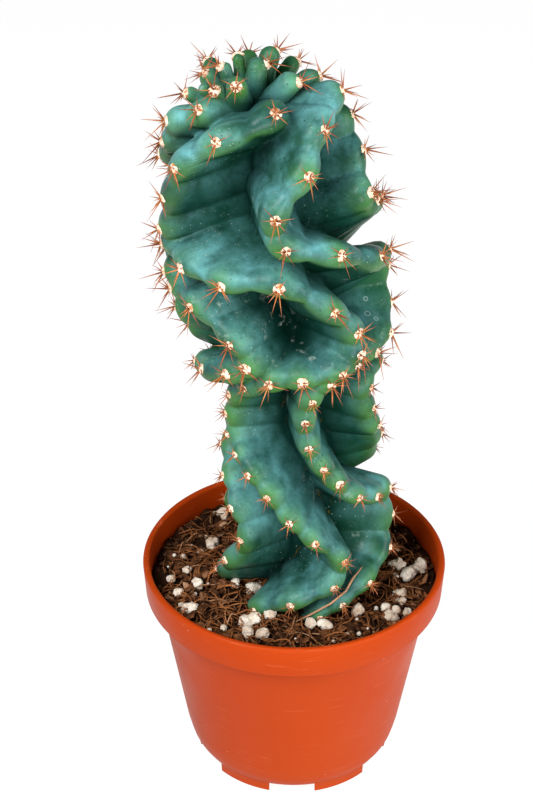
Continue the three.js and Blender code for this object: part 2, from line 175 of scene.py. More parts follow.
# Ring-shaped scars on the skin: X, Y, height and radius
SCARS = [(26.9, -1.1, 137.7, 0.8), (29.2, -6.6, 133, 1.1), (32.4, -9.4, 131.5, 0.8)]

# Large grains that lie on the potting mix: X, Y and radius
PERLITE = [
    (-41, -10, 3.0), (-46, -25, 2.9), (-43, -27, 2.9), (-48, 9, 1.7), (-41, 14, 1.7), (-46, 1, 2.2),
    (-53, -6, 2.2), (-17, -13, 3.3), (-49, -17, 2.2), (-42, -16, 1.3), (-20, -35, 3.3),
    (-16, -33, 3.0), (-10, -32, 3.0),
    (-19, -43, 2.6), (-13, -44, 2.6), (-29, -40, 1.7), (-35, -41, 1.3), (-16, -28, 1.7), (45, 3, 3.5),
    (49, -2, 3.5), (55, 4, 3.5), (51, 4, 1.7), (44, -3, 1.7), (45, -16, 3.0), (46, -21, 1.7), (41, 27, 1.3),
    (27, -28, 3.0), (39, -26, 2.2), (40, -29, 1.8), (41, -31, 2.6), (43, -27, 2.2), (35, -25, 1.3),
    (13, -38, 3.0), (7, -37, 2.2), (48, -27, 2.2), (-36, 18, 3.0), (-25, -11, 2.4), (-32, 42, 3.0),
]
SMALL_GRAINS = 46
SMALLEST_FINE_GRAIN = 1.6

# A dry twig that leans on the stem's foot: X, Y and height
TWIG = [
    (28.5, -22.5, 20.5), (24.6, -26.5, 17.5), (21.7, -30.5, 14), (15.4, -33.5, 9.5), (7, -34, 4), (1, -35, 1),
]
TWIG_RADIUS = 0.55
STRAND_STEPS = 6

# The bed of potting mix reaches to just inside the pot's wall, and what lies on it a little less far
BED_RADIUS = 60.9
BED_RINGS = 60
SCATTER_RADIUS = 61
STRAND_LIMIT = 59.5

# Openings in the foot of the pot
FEET = 6

# Camera and floor, in metres
CAMERA_PLACE = (0, -0.7219, 0.6355)
CAMERA_FORWARD = (-0.01380, 0.84381, -0.53646)
FLOOR_SIZE = 14
FLOOR_DROP = 0.0002
LIGHT_AIM = (0, 0, 0.17)


# Settings


class PotSettings(bpy.types.PropertyGroup):
    height: FloatProperty(name="Height", description="Height of the pot", default=0.098, unit="LENGTH")
    rim_radius: FloatProperty(
        name="Rim radius", description="Outer radius of the rim", default=0.065, unit="LENGTH"
    )
    rim_height: FloatProperty(
        name="Rim band", description="Height of the rim band", default=0.015, unit="LENGTH"
    )
    wall: FloatProperty(name="Wall", description="Wall thickness", default=0.0018, unit="LENGTH")
    sides: IntProperty(name="Sides", description="Steps round the pot", default=192, min=24, max=360)
    color: FloatVectorProperty(
        name="Plastic", description="Colour of the plastic", subtype="COLOR", default=(0.335, 0.034, 0.002)
    )


class StemSettings(bpy.types.PropertyGroup):
    row_step: FloatProperty(
        name="Row step", description="Distance between rows up the stem", default=0.00056, unit="LENGTH"
    )
    columns: IntProperty(name="Columns", description="Skin columns on each rib", default=38, min=8, max=60)
    skin: FloatVectorProperty(
        name="Skin", description="Colour of the bare skin", subtype="COLOR", default=(0.002, 0.027, 0.017)
    )
    # The pale wax colour; the skin paint also lays it as painted light on upward skin.
    bloom_and_light: FloatVectorProperty(
        name="Bloom", description="Colour of the waxy bloom", subtype="COLOR", default=(0.135, 0.385, 0.415)
    )
    young: FloatVectorProperty(
        name="Young skin", description="Colour next to the areoles", subtype="COLOR",
        default=(0.05, 0.165, 0.018),
    )


class AreoleSettings(bpy.types.PropertyGroup):
    pad_radius: FloatProperty(
        name="Pad radius", description="Radius of an areole's felt pad", default=0.0023, unit="LENGTH"
    )
    spine_radius: FloatProperty(
        name="Spine radius", description="Radius at a spine's base", default=0.00038, unit="LENGTH"
    )
    radials: IntProperty(name="Radials", description="Spines round each areole", default=7, min=2, max=12)
    felt: FloatVectorProperty(
        name="Felt", description="Colour of the felt", subtype="COLOR", default=(0.85, 0.62, 0.45)
    )
    spine: FloatVectorProperty(
        name="Spine", description="Colour of the spines", subtype="COLOR", default=(0.18, 0.034, 0.009)
    )


class MixSettings(bpy.types.PropertyGroup):
    fibres: IntProperty(name="Fibres", description="How many coir fibres", default=950, min=0, max=4000)
    chips: IntProperty(name="Chips", description="How many bark chips", default=650, min=0, max=4000)
    crumbs: IntProperty(name="Crumbs", description="How many small crumbs", default=1000, min=0, max=6000)
    soil: FloatVectorProperty(
        name="Soil", description="Colour of the soil", subtype="COLOR", default=(0.011, 0.0042, 0.0016)
    )
    fibre: FloatVectorProperty(
        name="Fibre", description="Colour of the fibres", subtype="COLOR", default=(0.46, 0.17, 0.055)
    )


class StageSettings(bpy.types.PropertyGroup):
    lens: FloatProperty(name="Lens", description="Focal length in mm", default=93.87, min=10, max=300)
    key: FloatProperty(name="Key light", description="Power of the key light", default=17, subtype="POWER")
    fill: FloatProperty(name="Fill light", description="Power at the right", default=8, subtype="POWER")
    low: FloatProperty(name="Low light", description="Power at the low front", default=9, subtype="POWER")
    sky: FloatProperty(name="Sky", description="Strength of the even light", default=0.16, min=0, max=5)
    glow: FloatProperty(name="Glow", description="Light the floor gives itself", default=0.93, min=0, max=5)


# Helpers


def new_object(name, bm, materials, smooth=True):
    """A mesh object at the origin from a bmesh, with faces out."""
    bmesh.ops.recalc_face_normals(bm, faces=bm.faces)
    mesh = bpy.data.meshes.new(name)
    for face in bm.faces:
        face.smooth = smooth
    bm.to_mesh(mesh)
    bm.free()
    for material in materials:
        mesh.materials.append(material)
    obj = bpy.data.objects.new(name, mesh)
    bpy.context.collection.objects.link(obj)
    return obj


def between(rng, low, high):
    return low + (high - low) * rng.random()


def facing(direction, point=(0, 0, 0)):
    """A matrix that turns +Z to a direction and moves to a point."""
    turn = Vector((0, 0, 1)).rotation_difference(Vector(direction)).to_matrix().to_4x4()
    return Matrix.Translation(Vector(point)) @ turn


class Stamp:
    """A small shape, made once by a bmesh operator and then pressed into other meshes many times."""

    def __init__(self, operator, **values):
        bm = bmesh.new()
        operator(bm, **values)
        bm.verts.index_update()
        self.points = [vert.co.copy() for vert in bm.verts]
        self.faces = [[vert.index for vert in face.verts] for face in bm.faces]
        bm.free()

    def press(self, bm, matrix):
        verts = [bm.verts.new(matrix @ point) for point in self.points]
        for face in self.faces:
            bm.faces.new([verts[i] for i in face])
        return verts


class Paint:
    """A node material under construction."""

    def __init__(self, name, roughness=0.6, specular=0.5):
        self.material = bpy.data.materials.new(name)
        self.material.use_nodes = True
        self.tree = self.material.node_tree
        self.shader = self.tree.nodes["Principled BSDF"]
        self.shader.inputs["Roughness"].default_value = roughness
        self.shader.inputs["Specular IOR Level"].default_value = specular
        self.coords = self.node("ShaderNodeTexCoord").outputs["Object"]

    def node(self, kind, **values):
        node = self.tree.nodes.new(kind)
        for key, value in values.items():
            setattr(node, key, value)
        return node

    def put(self, socket, value):
        if isinstance(value, bpy.types.NodeSocket):
            self.tree.links.new(value, socket)
        elif isinstance(value, tuple) and len(value) == 3 and socket.type == "RGBA":
            socket.default_value = (*value, 1)
        else:
            socket.default_value = value

    def noise(self, scale, detail=3.0, roughness=0.5, stretch=None):
        node = self.node("ShaderNodeTexNoise")
        self.put(node.inputs["Vector"], self.stretched(stretch) if stretch else self.coords)
        node.inputs["Scale"].default_value = scale
        node.inputs["Detail"].default_value = detail
        node.inputs["Roughness"].default_value = roughness
        return node.outputs["Fac"]

    def dots(self, scale, inner, outer, strength=1.0):
        """Small round dots, one in each cell of a scatter, that fade from an inner to an outer distance."""
        node = self.node("ShaderNodeTexVoronoi")
        self.put(node.inputs["Vector"], self.coords)
        node.inputs["Scale"].default_value = scale
        return self.ramp(node.outputs["Distance"], outer, inner, 0.0, strength)

    def place(self):
        """The object's X, Y and Z as sockets."""
        node = self.node("ShaderNodeSeparateXYZ")
        self.put(node.inputs[0], self.coords)
        return node.outputs

    def stretched(self, scale):
        node = self.node("ShaderNodeMapping")
        self.put(node.inputs["Vector"], self.coords)
        node.inputs["Scale"].default_value = scale
        return node.outputs["Vector"]

    def ring(self, centre, radius, width):
        """A thin ring round a point."""
        node = self.node("ShaderNodeVectorMath", operation="DISTANCE")
        self.put(node.inputs[0], self.coords)
        node.inputs[1].default_value = centre
        offset = self.math("SUBTRACT", node.outputs["Value"], radius)
        return self.ramp(self.math("ABSOLUTE", offset), width, 0.0)

    def attribute(self, name):
        return self.node("ShaderNodeAttribute", attribute_name=name).outputs["Fac"]

    def ramp(self, value, low, high, to_low=0.0, to_high=1.0):
        node = self.node("ShaderNodeMapRange", clamp=True)
        keys = ("Value", "From Min", "From Max", "To Min", "To Max")
        for key, number in zip(keys, (value, low, high, to_low, to_high)):
            self.put(node.inputs[key], number)
        return node.outputs["Result"]

    def math(self, operation, a, b=0.0):
        node = self.node("ShaderNodeMath", operation=operation)
        self.put(node.inputs[0], a)
        self.put(node.inputs[1], b)
        return node.outputs[0]

    def product(self, *factors):
        result = factors[0]
        for factor in factors[1:]:
            result = self.math("MULTIPLY", result, factor)
        return result

    def highest(self, *values):
        result = values[0]
        for value in values[1:]:
            result = self.math("MAXIMUM", result, value)
        return result

    def mix(self, factor, a, b):
        node = self.node("ShaderNodeMix", data_type="RGBA")
        self.put(node.inputs["Factor"], factor)
        self.put(node.inputs[6], a)
        self.put(node.inputs[7], b)
        return node.outputs[2]

    def bump(self, height, distance, strength=1.0, onto=None):
        node = self.node("ShaderNodeBump")
        self.put(node.inputs["Height"], height)
        node.inputs["Distance"].default_value = distance
        node.inputs["Strength"].default_value = strength
        if onto:
            self.put(node.inputs["Normal"], onto)
        return node.outputs["Normal"]

    def finish(self, color, normal=None, roughness=None):
        self.put(self.shader.inputs["Base Color"], color)
        if normal:
            self.put(self.shader.inputs["Normal"], normal)
        if roughness:
            self.put(self.shader.inputs["Roughness"], roughness)
        return self.material


# Shape of the stem

Spoke = namedtuple("Spoke", "root direction length radius angle height swell")


def table_at(table, place):
    """A two-column table's value at a place, in a straight line between its rows."""
    return np.interp(place, *zip(*table))


def axis_at(heights):
    heights = np.asarray(heights, float)
    table = np.array(STEM_AXIS, float)
    x = np.interp(heights, table[:, 0], table[:, 1])
    y = np.interp(heights, table[:, 0], table[:, 2])
    return np.stack([x, y, heights], -1)


def rib_route(rib, steps):
    """A smooth route through a rib's areoles."""
    areoles = np.array(rib, float)
    padded = np.vstack([2 * areoles[0] - areoles[1], areoles, 2 * areoles[-1] - areoles[-2]])
    places = []
    for i in range(len(areoles) - 1):
        a, b, c, d = padded[i : i + 4]
        for step in range(steps):
            t = step / steps
            square = (2 * a - 5 * b + 4 * c - d) * t**2
            cube = (3 * b - a - 3 * c + d) * t**3
            places.append(0.5 * (2 * b + (c - a) * t + square + cube))
    places.append(areoles[-1])
    return np.array(places)


def rib_spokes(rib):
    """Round-tipped cones from the axis out to the rib's edge, fuller and longer at the areoles."""
    route = rib_route(rib, ROUTE_STEPS)
    steps = np.arange(len(route)) / ROUTE_STEPS
    spokes = []
    for step, (angle, height, reach) in zip(steps, route):
        turn = math.radians(angle)
        tip = axis_at(height) + reach * np.array([math.cos(turn), math.sin(turn), 0])
        slope = table_at(RIB_RISE, height)
        if math.cos(turn) < 0 < slope:
            slope *= FALL_SHARE
        rise = reach * slope * math.cos(turn)
        root = axis_at(min(height - rise, CROWN_HEIGHT))
        length = np.linalg.norm(tip - root)
        swell = abs(math.cos(math.pi * step))
        radius = EDGE_RADIUS + swell * table_at(KNOB_SWELL, height)
        direction = (tip - root) / length
        length -= KNOB_STAND * (1 - swell) + radius
        spokes.append(Spoke(root, direction, length, radius, angle, height, swell))
    return spokes


def exit_distance(origins, rays, spoke):
    """How far along its ray each point inside last leaves a spoke."""
    root, direction, length, radius = spoke[:4]
    offset = origins - root
    wide = radius + RIB_TAPER * length
    spread = 1 + RIB_TAPER**2
    from_tip = offset - length * direction
    b = (rays * from_tip).sum(1)
    disc = b * b - (from_tip**2).sum(1) + radius**2
    result = np.where(disc > 0, -b + np.sqrt(np.maximum(disc, 0)), 0)
    along = offset @ direction
    cosine = rays @ direction
    a = 1 - cosine**2 * spread
    a = np.where(np.abs(a) > 1e-9, a, 1e-9)
    b = (offset * rays).sum(1) - along * cosine * spread + wide * RIB_TAPER * cosine
    c = (offset**2).sum(1) - along**2 * spread + 2 * wide * RIB_TAPER * along - wide**2
    disc = b * b - a * c
    root_of = np.sqrt(np.maximum(disc, 0))
    for sign in (1, -1):
        reach = (-b + sign * root_of) / a
        at = along + reach * cosine
        result = np.where((disc > 0) & (at >= 0) & (at <= length) & (reach > result), reach, result)
    return result


def guide_angles(spokes, heights):
    """A rib's angle at each height, averaged over the spokes whose roots lie near it."""
    roots = np.array([spoke.root[2] for spoke in spokes])
    angles = np.array([spoke.angle for spoke in spokes])
    weight = np.exp(-(((heights[:, None] - roots) / GUIDE_REACH) ** 2)) + 1e-12
    return (weight * angles).sum(1) / weight.sum(1)


def column_angles(ribs, heights, columns):
    """Angles of the skin's columns at each height, evenly spread between neighbouring ribs."""
    guides = [guide_angles(spokes, heights) for spokes in ribs]
    for i in range(1, len(guides)):
        turns = np.round((guides[i] - guides[i - 1]).mean() / 360 - 0.5)
        guides[i] = guides[i] - 360 * turns
    guides.append(guides[0] + 360)
    shares = np.arange(columns) / columns
    shares = shares - COLUMN_CROWDING * np.sin(2 * math.pi * shares)
    return np.stack([a + (b - a) * share for a, b in zip(guides, guides[1:]) for share in shares], 1)


def ray_slopes(ribs, heights, angles):
    """How steeply the rays rise: like the spokes near them."""
    spokes = [spoke for rib in ribs for spoke in rib]
    roots = np.array([spoke.root[2] for spoke in spokes])
    turns = np.array([spoke.angle for spoke in spokes])
    rise = np.array([spoke.direction[2] / math.hypot(*spoke.direction[:2]) for spoke in spokes])
    slopes = np.empty(angles.shape)
    for row, height in enumerate(heights):
        near = np.nonzero(np.abs(roots - height) < SLOPE_LIMIT)[0]
        apart = (angles[row][:, None] - turns[near] + 180) % 360 - 180
        weight = np.exp(-((apart / SLOPE_ANGLE) ** 2) - ((roots[near] - height) / SLOPE_HEIGHT) ** 2) + 1e-9
        slopes[row] = (weight * rise[near]).sum(1) / weight.sum(1)
    return slopes


def skin_rays(ribs, row_step, columns):
    """Rows of rays from the axis: they slope as the ribs do, then fan out over the crown."""
    trunk = np.arange(LOWEST_ROOT, CROWN_HEIGHT, row_step)
    fan = np.linspace(0, 1, CROWN_ROWS + 1)[1:]
    heights = np.concatenate([trunk, 0 * fan + CROWN_HEIGHT])
    angles = column_angles(ribs, heights, columns)
    rise = np.arctan(ray_slopes(ribs, heights, angles))
    rise[len(trunk) :] += (math.radians(CROWN_SLOPE) - rise[len(trunk) :]) * fan[:, None]
    level = np.cos(rise)
    turns = np.radians(angles)
    rays = np.stack([np.cos(turns) * level, np.sin(turns) * level, np.sin(rise)], -1)
    origins = np.broadcast_to(axis_at(heights)[:, None], rays.shape)
    return origins, rays, angles


def skin_reach(ribs, origins, rays, angles):
    """The skin's distance along each ray, how far its rib is ahead of the next, and how folded it is."""
    reach = np.zeros((len(ribs) + 1, *angles.shape))
    reach[-1] = CORE_RADIUS
    swell = np.ones((len(ribs) + 1, *angles.shape))
    heights = origins[:, 0, 2]
    for rib, spokes in enumerate(ribs):
        for spoke in spokes:
            rows = np.nonzero(np.abs(heights - spoke.root[2]) < SPOKE_HEIGHT)[0]
            apart = (angles[rows] - spoke.angle + 180) % 360 - 180
            row, column = np.nonzero(np.abs(apart) < SPOKE_ANGLE)
            row = rows[row]
            out = exit_distance(origins[row, column], rays[row, column], spoke)
            further = out > reach[rib, row, column]
            row, column = row[further], column[further]
            reach[rib, row, column] = out[further]
            swell[rib, row, column] = spoke.swell
    top = reach.max(0)
    blended = top + VALLEY_BLEND * np.log(np.exp((reach - top) / VALLEY_BLEND).sum(0))
    second = np.sort(reach, axis=0)[-2]
    foremost = np.take_along_axis(swell, reach.argmax(0)[None], 0)[0]
    return blended, top - second, np.exp(-((foremost / FOLD_FADE) ** 2))


def stem_mesh(settings, ribs):
    """The skin: a grid whose vertices go out along the rays, closed round the stem and at its ends."""
    origins, rays, angles = skin_rays(ribs, settings.row_step / MM, settings.columns)
    reach, apart, folds = skin_reach(ribs, origins, rays, angles)
    points = (origins + rays * reach[..., None] + (0, 0, SOIL)) * MM
    rows, columns = reach.shape
    bm = bmesh.new()
    valley = bm.verts.layers.float.new("valley")
    deep = bm.verts.layers.float.new("deep")
    fold = bm.verts.layers.float.new("fold")
    bmesh.ops.create_grid(bm, x_segments=columns, y_segments=rows - 1, size=1)
    for vert in bm.verts:
        column = round((vert.co.x + 1) / 2 * columns) % columns
        row = round((vert.co.y + 1) / 2 * (rows - 1))
        vert.co = points[row, column]
        vert[valley] = math.exp(-apart[row, column] / VALLEY_FADE)
        edge_reach = table_at(EDGE_REACH, origins[row, 0, 2])
        vert[deep] = min(max((edge_reach - reach[row, column]) / DEPTH_FADE, 0), 1)
        vert[fold] = folds[row, column]
    bmesh.ops.remove_doubles(bm, verts=bm.verts, dist=1e-7)
    bmesh.ops.holes_fill(bm, edges=[edge for edge in bm.edges if edge.is_boundary], sides=0)
    bmesh.ops.poke(bm, faces=[face for face in bm.faces if len(face.verts) > 4])
    bmesh.ops.smooth_vert(bm, verts=bm.verts, factor=0.5, use_axis_x=True, use_axis_y=True, use_axis_z=True)
    return bm


def knob_spoke(knob):
    x, y, height, radius = knob
    tip = np.array([x, y, height], float)
    root = np.array([*CROWN_CENTRE, CROWN_HEIGHT], float)
    root[:2] += (tip[:2] - root[:2]) * CROWN_FOOT_SHARE
    length = np.linalg.norm(tip - root)
    return Spoke(root, (tip - root) / length, length, radius, 0, height, 1)


def crest_points(spokes):
    """Points along the outer edge of spokes."""
    return [spoke.root + spoke.direction * (spoke.length + spoke.radius) for spoke in spokes]


def areole_spokes():
    """The spokes that carry an areole: those of the ribs, then the larger crown knobs."""
    spokes = [spoke for rib in RIBS for spoke in rib_spokes(rib)[::ROUTE_STEPS]]
    spokes = [spoke for spoke in spokes if spoke.height > LOWEST_AREOLE]
    for knob in CROWN_KNOBS:
        if knob[3] > SMALLEST_SPINY_KNOB:
            spoke = knob_spoke(knob)
            outward = np.array([knob[0] - CROWN_CENTRE[0], knob[1] - CROWN_CENTRE[1], 0], float)
            outward = spoke.direction + AREOLE_LEAN * outward / np.linalg.norm(outward)
            centre = spoke.root + spoke.direction * spoke.length
            spokes.append(spoke._replace(root=centre, direction=outward / np.linalg.norm(outward), length=0))
    return spokes


def nearness(bm, name, points, reach):
    """A vertex layer that is 1 at the points and fades with distance."""
    tree = kdtree.KDTree(len(points))
    for i, (x, y, z) in enumerate(points):
        tree.insert((x * MM, y * MM, (z + SOIL) * MM), i)
    tree.balance()
    layer = bm.verts.layers.float.new(name)
    for vert in bm.verts:
        distance = tree.find(vert.co)[2]
        vert[layer] = math.exp(-((distance / (reach * MM)) ** 2))


# Materials


def skin_layers(paint, settings, scars):
    """What lies over the bare skin, from the lowest layer up, as shares and colours, painted shade and light
    among them; and where it is dull, which is where deep skin, creases and downward skin get painted shade.
    """
    edge = paint.attribute("edge")
    up = paint.attribute("up")
    deep = paint.attribute("deep")
    height = paint.place()["Z"]
    # Painted shade: the far side of the stem, away from the camera and the key light, is painted greener and
    # darker, with less pale wax.
    shaded_back = paint.ramp(paint.place()["Y"], -0.008, 0.006)
    # Painted shade: skin that faces downward is painted dark.
    below_shade = paint.ramp(up, -0.55, -0.85)
    # Valley lines between ribs: painted shade goes along them, and the brown cork low on the stem.
    crease = paint.product(paint.attribute("valley"), paint.ramp(edge, 0.3, 0.0))
    # The pale wax's share, partly real wax in clouds and partly painted light: fuller on upward skin, thin on
    # the shaded far side; also fuller at the edges and near the top.
    bloom_and_light = paint.product(
        paint.ramp(up, -0.75, 0.55, 0.16, 0.82),
        paint.ramp(paint.noise(38, 5, 0.6), 0.38, 0.62, 0.14, 1.0),
        paint.ramp(paint.noise(150, 5, 0.65), 0.36, 0.64, 0.45, 1.0),
        paint.ramp(shaded_back, 0, 1, 1.0, 0.25),
        paint.ramp(edge, 0.0, 0.8, 0.6, 1.0),
        paint.ramp(height, 0.25, 0.285, 0.85, 1.25),
    )
    young = paint.ramp(paint.noise(75, 3), 0.36, 0.6, 0.05, 0.85)
    under = paint.product(paint.ramp(edge, 0.4, 0.95), paint.ramp(up, 0.2, -0.4), 0.55)
    # Painted shade deep inside the ribs' reach and at the feet of the crown knobs, weaker near the top.
    hollow_shade = paint.product(paint.ramp(deep, 0.25, 0.9, 0, 0.94), paint.ramp(height, 0.245, 0.265, 1, 0.45))
    # Painted shade along the folds between areoles, away from the edges, weaker low on the stem.
    fold = paint.product(
        paint.attribute("fold"), paint.ramp(edge, 0.75, 0.25), paint.ramp(height, 0.195, 0.215, 0.3, 1.0)
    )
    cork = paint.product(
        paint.ramp(crease, 0.75, 0.95),
        paint.ramp(paint.noise(210, 2), 0.5, 0.58),
        paint.ramp(height, 0.2, 0.185),
        paint.ramp(paint.noise(17, 1), 0.5, 0.55, 0.0, 0.8),
    )
    specks = paint.product(paint.dots(330, 0.09, 0.16), paint.ramp(paint.noise(60, 2), 0.47, 0.57, 0.0, 0.65))
    dust = paint.product(paint.dots(520, 0.08, 0.14), paint.ramp(paint.noise(45, 2), 0.5, 0.6, 0.0, 0.45))
    scuffs = paint.product(
        paint.ramp(paint.noise(190, 5, 0.7), 0.58, 0.7, 0.0, 0.5), paint.ramp(paint.noise(24, 2), 0.56, 0.66)
    )
    # Painted light and shade among these layers: the greener, darker far side, part of the pale wax's share,
    # and the dark layers in the depths, folds, downward skin and creases.
    layers = [
        (paint.ramp(paint.noise(19, 3), 0.42, 0.6, 0.0, 0.45), (0.005, 0.042, 0.008)),
        (paint.product(shaded_back, 0.8), (0.006, 0.07, 0.016)),
        (bloom_and_light, tuple(settings.bloom_and_light)),
        (paint.product(paint.attribute("areole"), young), tuple(settings.young)),
        (under, (0.045, 0.13, 0.015)),
        (hollow_shade, (0.0008, 0.009, 0.006)),
        (paint.ramp(fold, 0.1, 0.9, 0.0, 0.8), (0.001, 0.01, 0.007)),
        (paint.product(below_shade, 0.8), (0.0015, 0.016, 0.009)),
        (paint.ramp(crease, 0.35, 0.95, 0.0, 0.92), (0.0015, 0.012, 0.009)),
        (cork, (0.09, 0.06, 0.012)),
        (specks, (0.004, 0.022, 0.014)),
        (dust, (0.4, 0.5, 0.45)),
        (scuffs, (0.35, 0.43, 0.38)),
    ]
    for centre, radius in scars:
        layers.append((paint.product(paint.ring(centre, radius, 0.0004), 0.45), (0.34, 0.48, 0.46)))
    return layers, paint.highest(deep, crease, below_shade)


def skin_material(settings, scars):
    paint = Paint("cactus_skin", roughness=0.45)
    color = tuple(settings.skin)
    layers, dull = skin_layers(paint, settings, scars)
    for share, tone in layers:
        color = paint.mix(share, color, tone)
    normal = paint.bump(paint.noise(620, 4, 0.6), 0.00016, 0.5)
    normal = paint.bump(paint.noise(110, 4, 0.6), 0.0009, 0.6, normal)
    # The reflection weakens where the shade is painted.
    paint.put(paint.shader.inputs["Specular IOR Level"], paint.ramp(dull, 0.6, 0.1, 0.0, 0.14))
    return paint.finish(color, normal, paint.ramp(paint.noise(38, 5, 0.6), 0.38, 0.62, 0.3, 0.46))


def felt_material(settings):
    paint = Paint("areole_felt", roughness=0.95, specular=0.1)
    flecks = paint.ramp(paint.noise(520, 3, 0.6), 0.5, 0.62)
    color = paint.mix(flecks, tuple(settings.felt), (0.5, 0.17, 0.05))
    pale = paint.ramp(paint.noise(900, 2), 0.54, 0.64)
    color = paint.mix(pale, color, (0.92, 0.8, 0.66))
    return paint.finish(color, paint.bump(paint.noise(2600, 3, 0.7), 0.0005, 0.9))


def spine_material(settings):
    paint = Paint("spines", roughness=0.38, specular=0.4)
    along = paint.attribute("along")
    tone = paint.attribute("tone")
    color = paint.mix(tone, tuple(settings.spine), (0.45, 0.15, 0.04))
    color = paint.mix(paint.ramp(along, 0.5, 1.0, 0.0, 0.7), color, (0.14, 0.025, 0.008))
    color = paint.mix(paint.ramp(along, 0.3, 0.0, 0.0, 0.5), color, (0.62, 0.3, 0.12))
    return paint.finish(color)


def plastic_material(settings):
    paint = Paint("pot_plastic", roughness=0.4, specular=0.06)
    tone = paint.ramp(paint.noise(14, 2), 0.35, 0.65, 0.0, 0.2)
    color = paint.mix(tone, tuple(settings.color), (0.4, 0.055, 0.008))
    dust = paint.product(paint.dots(210, 0.035, 0.055), paint.ramp(paint.noise(60, 2), 0.54, 0.58, 0.0, 0.55))
    color = paint.mix(dust, color, (0.9, 0.7, 0.6))
    scratches = paint.ramp(paint.noise(60, 4, 0.6, stretch=(1, 1, 14)), 0.62, 0.7, 0.0, 0.14)
    color = paint.mix(scratches, color, (0.6, 0.2, 0.1))
    height = paint.place()["Z"]
    # Painted shadow: a dark line just under the rim band.
    shadow_under_band = paint.product(paint.ramp(height, 0.081, 0.083, 0, 0.75), paint.ramp(height, 0.0836, 0.0832))
    color = paint.mix(shadow_under_band, color, (0.12, 0.008, 0.002))
    normal = paint.bump(paint.noise(500, 3), 0.00006, 0.4)
    return paint.finish(color, normal, paint.ramp(paint.noise(40, 3), 0.3, 0.7, 0.34, 0.48))


def earth_material(name, dark, light, scale):
    paint = Paint(name, roughness=0.85, specular=0.05)
    color = paint.mix(paint.ramp(paint.noise(scale, 4, 0.6), 0.35, 0.68), dark, light)
    tone = paint.attribute("tone")
    color = paint.mix(paint.ramp(tone, 0, 1, 0, 0.85), color, (0.006, 0.003, 0.002))
    pale = paint.ramp(tone, 0.12, 0.0, 0.0, 0.5)
    color = paint.mix(pale, color, (0.5, 0.32, 0.2))
    return paint.finish(color, paint.bump(paint.noise(scale * 3, 4, 0.65), 0.0006, 0.8))


def perlite_material():
    paint = Paint("perlite", roughness=0.9, specular=0.2)
    tan = paint.ramp(paint.noise(120, 4, 0.65), 0.42, 0.62, 0.0, 0.8)
    color = paint.mix(tan, (0.68, 0.62, 0.53), (0.4, 0.26, 0.16))
    color = paint.mix(paint.dots(800, 0.12, 0.26, 0.65), color, (0.2, 0.13, 0.09))
    return paint.finish(color, paint.bump(paint.noise(900, 4, 0.65), 0.0006, 0.8))


# Operators


def settings_of(context):
    return context.scene.spiral_cactus


class BuildPot(bpy.types.Operator):
    """Turns the nursery pot, then cuts the notches between its feet and its drain holes"""

    bl_idname = "cactus.build_pot"
    bl_label = "Build pot"

    def execute(self, context):
        s = settings_of(context).pot
        top = s.height
        rim = s.rim_radius
        band = top - s.rim_height
        wall = s.wall
        profile = [
            (0, 5.0), (38.5, 5.0), (38.5, 0.3), (38.8, 0.0), (42.4, 0.0), (42.8, 0.3), (43.0, 4.6),
            (43.6, 5.6), (44.6, 7.1), (45.6, 9.4), (46.3, 12), (46.9, 14.5), (47.5, 17),
        ]
        profile = [(r * MM, z * MM) for r, z in profile]
        lip = rim - 0.003
        profile += [
            (0.0585, band - 0.0015), (0.0588, band - 0.0006), (0.0594, band - 0.0001), (0.0600, band),
            (rim - 0.0017, band), (rim - 0.0012, band + 0.0002), (rim - 0.001, band + 0.0007),
            (rim - 0.0001, top - 0.0014), (rim - 0.0002, top - 0.0008), (rim - 0.0006, top - 0.0002),
            (rim - 0.0012, top), (lip + 0.0012, top), (lip + 0.0006, top - 0.0002),
            (lip + 0.0002, top - 0.0006), (lip, top - 0.0012), (lip - 0.0006, SOIL * MM - 0.004),
            (0.0585 - wall, band - 0.003), (0.0475 - wall, 0.017), (0.0447, 0.012), (0.0432, 0.0088),
            (0.042, 0.0072), (0, 0.0072),
        ]
        bm = bmesh.new()
        verts = [bm.verts.new((r, 0, z)) for r, z in profile]
        edges = [bm.edges.new(pair) for pair in zip(verts, verts[1:])]
        bmesh.ops.spin(
            bm, geom=verts + edges, cent=(0, 0, 0), axis=(0, 0, 1), dvec=(0, 0, 0),
            angle=2 * math.pi, steps=s.sides, use_merge=True, use_duplicate=False,
        )
        bmesh.ops.remove_doubles(bm, verts=bm.verts, dist=1e-6)
        pot = new_object("pot_shell", bm, [plastic_material(s)])
        cutter = self.cutter()
        modifier = pot.modifiers.new("openings", "BOOLEAN")
        modifier.operation = "DIFFERENCE"
        modifier.solver = "EXACT"
        modifier.object = cutter
        mesh = bpy.data.meshes.new_from_object(pot.evaluated_get(context.evaluated_depsgraph_get()))
        pot.modifiers.clear()
        pot.data = mesh
        bpy.data.objects.remove(cutter)
        mesh.shade_smooth()
        mesh.set_sharp_from_angle(angle=math.radians(38))
        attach(pot, "root")
        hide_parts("pot")
        return {"FINISHED"}

    def cutter(self):
        """The notches between the feet, and a round drain hole inside each."""
        bm = bmesh.new()
        for i in range(FEET):
            turn = Matrix.Rotation(math.radians(-90 + 360 / FEET * i), 4, "Z")
            box = turn @ Matrix.Translation((0.043, 0, 0.0023)) @ Matrix.Diagonal((0.0135, 0.0198, 0.005, 1))
            bmesh.ops.create_cube(bm, size=1, matrix=box)
            bmesh.ops.create_cone(
                bm, cap_ends=True, segments=24, radius1=0.0035, radius2=0.0035, depth=0.009,
                matrix=turn @ Matrix.Translation((0.03, 0, 0.006)),
            )
        return new_object("openings", bm, [])


